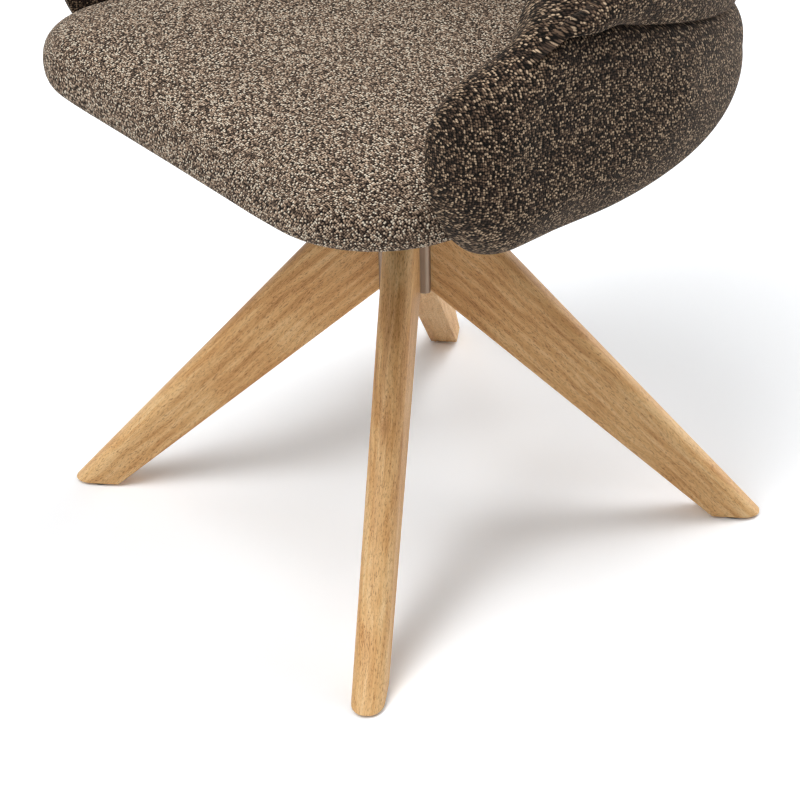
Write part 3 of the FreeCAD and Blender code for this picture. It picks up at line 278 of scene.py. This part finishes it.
def metal(name, light, dark, roughness, grain, stretch):
    """Metal with a fine finish: grain is the texture's size in millimetres, stretch its direction."""
    material, tree = shader_tree(name)
    here = add_node(tree, "ShaderNodeTexCoord").outputs["Object"]
    drawn = add_node(tree, "ShaderNodeMapping", Vector=here, Scale=stretch).outputs[0]
    fine = add_node(tree, "ShaderNodeTexNoise", Vector=drawn, Scale=1000 / grain, Detail=3.0).outputs["Fac"]
    colour = add_node(tree, "ShaderNodeValToRGB", {"stops": [(0.3, dark), (0.7, light)]},
                      Fac=fine).outputs[0]
    rough = add_node(tree, "ShaderNodeMapRange", Value=fine, To_Min=roughness - 0.06,
                     To_Max=roughness + 0.06)
    bump = add_node(tree, "ShaderNodeBump", Strength=0.12, Distance=0.0002, Height=fine)
    skin = add_node(tree, "ShaderNodeBsdfPrincipled", Base_Color=colour, Metallic=1.0,
                    Roughness=rough.outputs[0], Normal=bump.outputs[0])
    add_node(tree, "ShaderNodeOutputMaterial", Surface=skin.outputs[0])
    return material


def plain(name, light, dark, roughness, grain, depth, shine=0.5):
    """Moulded plastic, paint, board or felt: two close colours over a grain in millimetres."""
    material, tree = shader_tree(name)
    here = add_node(tree, "ShaderNodeTexCoord").outputs["Object"]
    fine = add_node(tree, "ShaderNodeTexNoise", Vector=here, Scale=1000 / grain, Detail=3.0).outputs["Fac"]
    colour = add_node(tree, "ShaderNodeValToRGB", {"stops": [(0.3, dark), (0.7, light)]},
                      Fac=fine).outputs[0]
    bump = add_node(tree, "ShaderNodeBump", Strength=0.3, Distance=depth, Height=fine)
    skin = add_node(tree, "ShaderNodeBsdfPrincipled", Base_Color=colour, Roughness=roughness, IOR=1.5,
                    Specular_IOR_Level=shine, Normal=bump.outputs[0])
    add_node(tree, "ShaderNodeOutputMaterial", Surface=skin.outputs[0])
    return material


finishes = {
    # bronze-grey plated steel, satin: soft upright brushing
    "hub_steel": metal("satin_bronze_steel", "#93806f", "#7f6e5f", 0.45, 0.8, (1, 1, 0.05)),
    # injection-moulded nylon, matt, near black
    "black_plastic": plain("moulded_black_nylon", "#1d1c1b", "#141312", 0.6, 0.6, 0.0001),
    # natural acetal: milky white, slightly glossy
    "bush_plastic": plain("turned_acetal", "#e6e4dc", "#dcdad1", 0.4, 0.8, 0.0001),
    # zinc plate: bright bluish grey, faintly cloudy
    "zinc_steel": metal("zinc_plated_steel", "#c3c8cc", "#a9adb1", 0.32, 2.0, (1, 1, 1)),
    # ground and oiled bearing steel
    "bearing_steel": metal("ground_bearing_steel", "#b9bbbd", "#9fa1a4", 0.2, 0.6, (1, 1, 0.1)),
    # pressed brass sheet
    "cage_brass": metal("pressed_brass", "#d6b25e", "#b99645", 0.3, 1.5, (1, 1, 1)),
    # black powder coat: fine orange peel
    "black_steel": plain("black_powder_coat", "#1c1c1d", "#151516", 0.5, 0.9, 0.0002),
    # raw birch plywood
    "board_wood": plain("birch_plywood", "#cfae7e", "#b8935f", 0.7, 3.0, 0.0002, 0.3),
    # thin needled felt, black
    "felt": plain("needled_black_felt", "#222120", "#131212", 0.95, 0.7, 0.0006, 0.1),
}
# degrees each leg's grain is turned by
leg_turns = {"leg_front_left": -45, "leg_front_right": -135, "leg_rear_left": 45, "leg_rear_right": 135}
for node, piece in nodes.items():
    slot = piece.data.materials[0].name.split(".")[0]
    if node in leg_turns:
        piece.data.materials[0] = oak(f"oiled_oak_{node}", math.radians(leg_turns[node]))
    elif slot in finishes:
        piece.data.materials[0] = finishes[slot]

# one cloth twice: the tub's copy is darker with painted shade, for its upright sides, which face away from
# the lamps and are the darker of the two in the photograph
seat_tweed = tweed("woven_taupe_tweed_seat", ("#40332a", "#917a68", "#d3b79d", "#fff1da"))
tub_tweed_painted_shade = tweed("woven_taupe_tweed_tub_painted_shade", ("#1b140f", "#473930", "#7f6855", "#d6bb9d"))


# Upholstery

def smooth_step(value, low, high):
    """0 below low and 1 above high, with an even ease between."""
    share = min(max((value - low) / (high - low), 0.0), 1.0)
    return share * share * (3 - 2 * share)


def arc(first, middle, last, count):
    """Count points from first towards last on the circle through three points, first included."""
    a, b, c = (np.array(p, float) for p in (first, middle, last))
    ab, ac = b - a, c - a
    cross = ab[0] * ac[1] - ab[1] * ac[0]
    if abs(cross) < 1e-2 * (ab @ ab + ac @ ac):
        return [a + (c - a) * i / count for i in range(count)]
    d = 2 * cross
    centre = a + np.array([ac[1] * (ab @ ab) - ab[1] * (ac @ ac),
                           ab[0] * (ac @ ac) - ac[0] * (ab @ ab)]) / d
    radius = np.linalg.norm(a - centre)
    start, through, end = (math.atan2(*(p - centre)[::-1]) for p in (a, b, c))
    sweep = (end - start) % (2 * math.pi)
    if (through - start) % (2 * math.pi) > sweep:
        sweep -= 2 * math.pi
    turns = [start + sweep * i / count for i in range(count)]
    return [centre + radius * np.array([math.cos(turn), math.sin(turn)]) for turn in turns]


def line(first, last, count):
    """Count points from first towards last, first included."""
    first, last = np.array(first, float), np.array(last, float)
    return [first + (last - first) * i / count for i in range(count)]


# The tub's plan in millimetres round the swivel axis: a straight wing with a rounded nose on
# each side, and a half circle round the back. TUB_HALF is half the length of its outline.
TUB_STRAIGHT = 96
TUB_RADIUS = 300
TUB_MIDDLE_Y = -34
TUB_HALF = TUB_STRAIGHT + TUB_RADIUS * math.pi / 2
SHOULDER_Y = TUB_MIDDLE_Y - TUB_STRAIGHT
NOSE_RADIUS = 57
NOSE_START_Y = -119

# heights of the tub's outline
UNDERSIDE = 399
NOSE_TIP = 497
WING_TOP = 555
CREASE = 566

# Points in each stretch of the tub's outline, and where the stretches meet
FOOT_ROWS, UNDER_ROWS, LOWER_ROWS, UPPER_ROWS, TOP_ROWS, INNER_ROWS = 9, 16, 12, 16, 12, 10
BULGE_ROW = FOOT_ROWS + UNDER_ROWS
CREASE_ROW = BULGE_ROW + LOWER_ROWS + 1
SHOULDER_ROW = CREASE_ROW + 2 + UPPER_ROWS
SEAM_ROW = SHOULDER_ROW + TOP_ROWS


def tub_station(run):
    """Where the tub's outer face stands, run millimetres along it from the wing's shoulder: the
    place, the outward direction, the lean above the crease and how far the nose is drawn in."""
    if run <= TUB_STRAIGHT:
        y = SHOULDER_Y + run
        past = max(NOSE_START_Y - y, 0)
        drawn = NOSE_RADIUS - math.sqrt(max(NOSE_RADIUS ** 2 - past ** 2, 0))
        return np.array([TUB_RADIUS - drawn, y]), np.array([1.0, 0.0]), 0.02, drawn
    turn = (run - TUB_STRAIGHT) / TUB_RADIUS
    outward = np.array([math.cos(turn), math.sin(turn)])
    lean = 0.1 * (0.2 + 0.8 * smooth_step(abs(math.sin(turn)), 0, 1))
    return np.array([0, TUB_MIDDLE_Y]) + TUB_RADIUS * outward, outward, lean, 0


def nose_section(lower, wall, bulge, crease, top, foot):
    """The outline near a wing's nose, before the crease starts: the lower half of the rolled
    outline, then one round cheek up and over to the inner face. Rows keep the crease's height."""
    points = list(lower)
    at_crease = math.degrees(math.asin(min((crease - bulge) / (top - bulge), 0.95)))
    shoulder = max(66, at_crease + 6)
    slope = 0.34 * (top - bulge)
    turns = [at_crease * i / LOWER_ROWS for i in range(LOWER_ROWS)]
    turns += [at_crease - 0.8, at_crease, at_crease + 0.8]
    above = at_crease + 1.6
    turns += [above + (shoulder - above) * i / UPPER_ROWS for i in range(UPPER_ROWS)]
    turns += [shoulder + (180 - shoulder) * i / TOP_ROWS for i in range(TOP_ROWS)]
    for turn in map(math.radians, turns):
        across = max(math.cos(turn), 0) ** 0.85
        if turn < math.pi / 2:
            points.append((-0.62 * wall * (1 - across), bulge + (top - bulge) * math.sin(turn)))
        else:
            inwards = -0.62 * wall + 0.38 * wall * math.cos(turn)
            points.append((inwards, top - slope * (1 - math.sin(turn))))
    points += line((-wall, top - slope), (-wall, foot), INNER_ROWS)
    return np.array(points, float)


def tub_section(run):
    """The tub's outline at a station: offset outward and height of each point, from the inner
    foot round the underside, the lower roll, the crease, the upper roll and down the inside."""
    place, outward, lean, drawn = tub_station(run)
    low, top = UNDERSIDE, WING_TOP
    # the nose rounds off over 66 mm below and 46 mm above
    if run < 20:
        share = min((20 - run) / 66, 1)
        low = NOSE_TIP - (NOSE_TIP - UNDERSIDE) * math.sqrt(1 - share ** 2)
    if run < 0:
        share = min(-run / 46, 1)
        top = NOSE_TIP + (WING_TOP - NOSE_TIP) * math.sqrt(1 - share ** 2)
    # the arm climbs 130 mm behind the wing and the back another 100 mm
    top += 130 * smooth_step(run, -16, 190) + 100 * smooth_step(run, 60, TUB_HALF)
    # the crease falls 84 mm towards the middle of the back
    crease = CREASE + 0.08 * max(TUB_MIDDLE_Y - place[1], 0)
    if place[1] > TUB_MIDDLE_Y:
        crease -= 84 * (place[1] - TUB_MIDDLE_Y) / TUB_RADIUS
    upper = smooth_step(run, 14, 74)
    wall = max(49.5 - drawn, 1)
    crease = min(crease, low + 0.94 * (top - low))
    fullest = 0.60 + 0.10 * smooth_step(run, 60, 200)
    bulge = low + fullest * (min(crease, low + 0.85 * (top - low)) - low)
    tuck = smooth_step(run, 14, 36)
    dent = 0.10 * wall * (1 - upper) + 12 * upper
    high_wall = wall + 14.5 * upper
    drop = min(26, 0.2 * (top - crease) + 4)
    shoulder = -0.5 * wall * (1 - upper) - 9 * upper
    belly = -0.3 * wall * (1 - upper) + 7 * upper
    foot = min(max(474, low + 0.35 * (top - low)), low + 0.6 * (top - low))
    under = (-0.26 * wall, low + 0.3 * (bulge - low))
    middle = (-0.25 * dent, (bulge + crease) / 2 + 4)
    lip = np.array((-dent, crease))
    points = line((-wall, foot), (-wall, low), FOOT_ROWS)
    points += arc((-wall, low), under, (0, bulge), UNDER_ROWS)
    points += arc((0, bulge), middle, lip - (0, 0.6 + 1.2 * tuck), LOWER_ROWS)
    points += [lip - (0, 0.6 + 1.2 * tuck), lip + (-0.5 - 10 * tuck, 0.8),
               lip + (0.3 + 2.5 * tuck, 0.8 + 0.9 * tuck)]
    upper_lip = lip + (0.4 + 5 * tuck, 1.2 + 2.0 * tuck)
    points += arc(upper_lip, (belly, (crease + top - drop) / 2), (shoulder, top - drop), UPPER_ROWS)
    inner_edge = (-high_wall, top - 0.9 * drop)
    points += arc((shoulder, top - drop), ((shoulder - high_wall) / 2, top), inner_edge, TOP_ROWS)
    points += line(inner_edge, (-wall, foot), INNER_ROWS)
    points = np.array(points, float)
    points[:, 0] += lean * np.maximum(points[:, 1] - CREASE, 0)
    rolled = smooth_step(run, 10, 54)
    nose = nose_section(points[:BULGE_ROW], wall, bulge, crease, top, foot)
    return place, outward, rolled * points + (1 - rolled) * nose


def build_mesh(name, points, faces, face_weave):
    """A mesh in metres from points in millimetres round the swivel axis. Each face's corners
    have their place on the flat cloth, in metres, in the UV map weave."""
    mesh = bpy.data.meshes.new(name)
    placed = np.array(points, float) * MM
    placed[:, 1] += SWIVEL_Y
    mesh.from_pydata(placed.tolist(), [], faces)
    mesh.update()
    cloth = mesh.uv_layers.new(name="weave")
    spots = np.array([spot for face in face_weave for spot in face], np.float32)
    cloth.data.foreach_set("uv", spots.ravel() * MM)
    piece = bpy.data.objects.new(name, mesh)
    bpy.context.scene.collection.objects.link(piece)
    for face in mesh.polygons:
        face.use_smooth = True
    return piece


# the inner cover is cut from another place on the cloth
INNER_CLOTH = 3000


def tub_weave(run, side, place, outline):
    """Cloth places of a section's points: the outer cover's rows lie level and follow the crease,
    the inner cover hangs from the seam on the inner edge."""
    past = max(NOSE_START_Y - place[1], 0)
    straight_from = NOSE_START_Y - SHOULDER_Y
    along = run
    if run <= straight_from:
        along = straight_from - NOSE_RADIUS * math.asin(min(past / NOSE_RADIUS, 1))
    steps = np.linalg.norm(np.diff(outline, axis=0, append=outline[:1]), axis=1)
    climb = np.concatenate([[0], np.cumsum(steps)[:-1]])
    behind = place[1] - TUB_MIDDLE_Y
    level = CREASE - (0.08 if behind < 0 else 0.28) * behind
    rise = outline[:, 1] - level
    outer, inner = [], []
    for row in range(len(outline)):
        if row < BULGE_ROW:
            up = rise[BULGE_ROW] - (climb[BULGE_ROW] - climb[row])
        elif row > SHOULDER_ROW:
            up = rise[SHOULDER_ROW] + climb[row] - climb[SHOULDER_ROW]
        else:
            up = rise[row]
        outer.append((side * (TUB_HALF - along), up))
        inner.append((side * (TUB_HALF - run) + INNER_CLOTH, -outline[row, 1]))
    return outer, inner


def tub_upholstery():
    """One cover over both wings and the back. Stations stand closer together at the noses, which
    close on a single point each."""
    angles = [math.radians(a) for a in (85, 80, 74, 68, 62, 56, 49, 42, 35, 28, 21, 14, 7)]
    runs = [-45.2 * math.sin(a) for a in angles]
    runs += list(np.linspace(0, TUB_HALF, 88))
    stations = [(run, 1) for run in runs] + [(run, -1) for run in reversed(runs[:-1])]
    points, rings, outers, inners = [], [], [], []
    for run, side in stations:
        place, outward, outline = tub_section(run)
        outer, inner = tub_weave(run, side, place, outline)
        ring = []
        for offset, height in outline:
            x, y = place + outward * offset
            ring.append(len(points))
            points.append((side * x, y, height))
        rings.append(ring)
        outers.append(outer)
        inners.append(inner)
    count = len(rings[0])
    faces, cloth = [], []
    for k in range(len(rings) - 1):
        for i in range(count):
            j = (i + 1) % count
            kind = inners if i < FOOT_ROWS or i >= SEAM_ROW else outers
            faces.append((rings[k][i], rings[k][j], rings[k + 1][j], rings[k + 1][i]))
            cloth.append((kind[k][i], kind[k][j], kind[k + 1][j], kind[k + 1][i]))
    for k, flip in ((0, False), (len(rings) - 1, True)):
        ring = rings[k]
        tip = len(points)
        middle = np.mean([points[i] for i in ring], axis=0)
        points.append((middle[0], middle[1] - 0.5, middle[2]))
        for i in range(count):
            j = (i + 1) % count
            kind = inners if i < FOOT_ROWS or i >= SEAM_ROW else outers
            near = outers[k][BULGE_ROW:SHOULDER_ROW] if kind is outers else inners[k]
            at_tip = tuple(np.mean(near, axis=0))
            face = [ring[i], tip, ring[j]]
            spots = [kind[k][i], at_tip, kind[k][j]]
            faces.append(face[::-1] if flip else face)
            cloth.append(spots[::-1] if flip else spots)
    piece = build_mesh("tub_upholstery", points, faces, cloth)
    # what is stapled or lies against the seat and the frame keeps its place
    held = []
    for ring in rings[1:-1]:
        held += ring[:12] + ring[CREASE_ROW - 2:CREASE_ROW + 3]
    return piece, held + [rings[0][0], rings[-1][0]]


SEAT_HALF = 249.4
SEAT_FRONT = -239


def seat_outline(inset, count):
    """The seat's outline drawn in by inset, as count points: a straight front, rounded front
    corners, straight sides and a half circle behind."""
    half = SEAT_HALF - inset
    front = SEAT_FRONT + inset
    corner = max(92 - 0.7 * inset, 0.35 * half)
    spine = []
    dense = 60
    for i in range(dense):
        x = (half - corner) * i / dense
        spine.append((x, front))
    middle = np.array([half - corner, front + corner])
    for i in range(dense):
        a = -math.pi / 2 + math.pi / 2 * i / dense
        spine.append(tuple(middle + corner * np.array([math.cos(a), math.sin(a)])))
    for i in range(dense):
        spine.append((half, front + corner + (TUB_MIDDLE_Y - front - corner) * i / dense))
    for i in range(2 * dense + 1):
        a = math.pi / 2 * i / (2 * dense)
        spine.append((half * math.cos(a), TUB_MIDDLE_Y + half * math.sin(a)))
    spine = np.array(spine)
    run = np.concatenate([[0], np.cumsum(np.linalg.norm(np.diff(spine, axis=0), axis=1))])
    wanted = np.linspace(0, run[-1], count // 2 + 1)
    right = np.stack([np.interp(wanted, run, spine[:, 0]), np.interp(wanted, run, spine[:, 1])], axis=1)
    left = right[1:-1][::-1] * (-1, 1)
    return np.concatenate([right, left])


def seat_upholstery():
    """A crowned seat: its cover is pulled over the edges and stapled under the board. Base, edge
    and crown are the underside's height, the edge's depth and the crown's rise."""
    base, edge, crown = 414, 44, 17
    # height and inset of each ring: the pocket for the board, the cloth that is wrapped under,
    # the rounded edge and the crowned top
    levels = [(426.4, 150), (426.4, 90), (426.4, 40), (426.2, 22.3), (414.0, 22.3), (414.0, 40),
              (414.0, 66), (413.4, 66), (413.2, 44), (413.4, 24), (base + 0.8, 15)]
    rounding = [(0.05, 9), (0.11, 4.8), (0.20, 1.8), (0.34, 0.4), (0.50, 0), (0.66, 0.6),
                (0.79, 2.6), (0.90, 6.5), (0.98, 13)]
    levels += [(base + share * edge, inset) for share, inset in rounding]
    crowning = [(0.12, 22), (0.25, 34), (0.39, 48), (0.53, 62), (0.66, 78), (0.77, 95),
                (0.86, 113), (0.93, 131), (0.975, 148), (1, 164)]
    levels += [(base + edge + share * crown, inset) for share, inset in crowning]
    count = 200
    rim = seat_outline(0, count)
    points, rings, spots = [], [], []
    for height, inset in levels:
        ring, places = [], []
        for (x, y), (rim_x, rim_y) in zip(seat_outline(inset, count), rim):
            ring.append(len(points))
            points.append((x, y, height))
            # below the edge the cloth runs on outwards as if it lay flat
            over = max(base + edge - height, 0) + (40 if height < base else 0)
            out = np.array([rim_x, rim_y - TUB_MIDDLE_Y])
            out /= np.linalg.norm(out)
            flat = (rim_x, rim_y) if inset < 24 and over > 6 else (x, y)
            places.append((flat[0] + out[0] * over, flat[1] + out[1] * over))
        rings.append(ring)
        spots.append(places)
    faces, cloth = [], []
    for k in range(len(rings) - 1):
        for i in range(count):
            j = (i + 1) % count
            faces.append((rings[k][i], rings[k][j], rings[k + 1][j], rings[k + 1][i]))
            cloth.append((spots[k][i], spots[k][j], spots[k + 1][j], spots[k + 1][i]))
    for k, flip in ((0, True), (len(rings) - 1, False)):
        ring = rings[k]
        middle = np.mean([points[i] for i in ring], axis=0)
        tip = len(points)
        points.append(tuple(middle))
        for i in range(count):
            j = (i + 1) % count
            face = [ring[i], ring[j], tip]
            around = [spots[k][i], spots[k][j], tuple(middle[:2])]
            faces.append(face[::-1] if flip else face)
            cloth.append(around[::-1] if flip else around)
    piece = build_mesh("seat_upholstery", points, faces, cloth)
    # everything below the rounded edge is stapled down
    held = [i for ring in rings[:12] for i in ring] + [len(points) - 2]
    return piece, held


COVER_FRAMES = 20


def puff(piece, held, pressure, cap):
    """Cloth under air pressure, as padding pushes a cover out. Points move cap metres at most."""
    scene = bpy.context.scene
    start = np.zeros(len(piece.data.vertices) * 3)
    piece.data.vertices.foreach_get("co", start)
    start = start.reshape(-1, 3)
    group = piece.vertex_groups.new(name="held")
    group.add(held, 1.0, "REPLACE")
    cloth = piece.modifiers.new("cover", "CLOTH")
    cloth.settings.use_pressure = True
    cloth.settings.uniform_pressure_force = pressure
    cloth.settings.vertex_group_mass = "held"
    cloth.settings.tension_stiffness = 30
    cloth.settings.compression_stiffness = 30
    cloth.settings.bending_stiffness = 4
    cloth.settings.effector_weights.gravity = 0
    cloth.point_cache.frame_start = 1
    cloth.point_cache.frame_end = COVER_FRAMES
    for number in range(1, COVER_FRAMES + 1):
        scene.frame_set(number)
    shaped = piece.evaluated_get(bpy.context.evaluated_depsgraph_get()).to_mesh()
    end = np.zeros(len(shaped.vertices) * 3)
    shaped.vertices.foreach_get("co", end)
    move = end.reshape(-1, 3) - start
    length = np.linalg.norm(move, axis=1)
    move *= (cap * np.tanh(length / cap) / np.maximum(length, 1e-9))[:, None]
    piece.modifiers.remove(cloth)
    piece.vertex_groups.remove(group)
    piece.data.vertices.foreach_set("co", (start + move).ravel())
    piece.data.update()
    scene.frame_set(1)


def finish_cover(piece, material, slot, *replaced):
    """Smooths a cover once, gives it its material, hangs it on the seat and hides the pieces it stands in
    for.
    """
    bpy.ops.object.select_all(action="DESELECT")
    piece.select_set(True)
    bpy.context.view_layer.objects.active = piece
    bpy.ops.object.mode_set(mode="EDIT")
    bpy.ops.mesh.select_all(action="SELECT")
    bpy.ops.mesh.normals_make_consistent(inside=False)
    bpy.ops.object.mode_set(mode="OBJECT")
    finer = piece.modifiers.new("finer", "SUBSURF")
    finer.levels = finer.render_levels = 1
    bpy.ops.object.modifier_apply(modifier="finer")
    piece.data.materials.append(material)
    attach(piece, "seat")
    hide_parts(*replaced)


tub, tub_held = tub_upholstery()
seat, seat_held = seat_upholstery()
puff(seat, seat_held, 1.5, 0.004)
puff(tub, tub_held, 1.5, 0.004)
finish_cover(tub, tub_tweed_painted_shade, "tub_fabric", "left_wing_pad", "right_wing_pad", "back_pad")
finish_cover(seat, seat_tweed, "seat_fabric", "seat_cushion")
